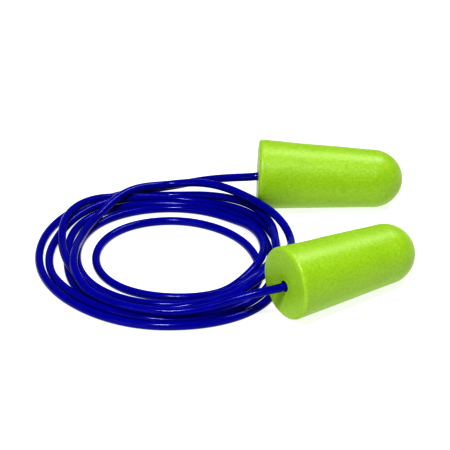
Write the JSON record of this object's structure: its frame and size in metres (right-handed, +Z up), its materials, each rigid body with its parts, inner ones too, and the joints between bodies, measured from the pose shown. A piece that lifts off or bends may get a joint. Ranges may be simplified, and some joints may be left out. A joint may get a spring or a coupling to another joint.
{
  "type": "corded foam ear plugs",
  "caption": "Pair of bullet-shaped soft foam ear plugs joined by one limp plastic cord, which lies wound in a flat round coil beside them.",
  "frame": {"origin": "on the surface that the plugs lie on, midway between the outer limits of the two plugs", "axes": "+Z up, +Y from the front plug to the back plug, +X towards the plugs' tips, with the coil on the -X side"},
  "size_m": [0.0653, 0.0492, 0.0125],
  "materials": {
    "foam": "matte",
    "cord": "gloss",
    "adhesive": "satin"
  },
  "bodies": {
    "cord": {"cord_coil": "cord", "cord_lead_front": "cord", "cord_lead_back": "cord"},
    "plug_front": {"plug_front_foam": "foam", "cord_end_front": "cord", "bond_front": "adhesive"},
    "plug_back": {"plug_back_foam": "foam", "cord_end_back": "cord", "bond_back": "adhesive"}
  },
  "joints": [
    {"name": "front_plug_swing", "type": "hinge", "parent": "cord", "child": "plug_front", "pos_m": [-0.00927, -0.01956, 0.0058], "axis": [0, 0, 1], "range_deg": [-30, 0]},
    {"name": "back_plug_swing", "type": "hinge", "parent": "cord", "child": "plug_back", "pos_m": [-0.01302, 0.01835, 0.0058], "axis": [0, 0, 1], "range_deg": [0, 30]}
  ]
}
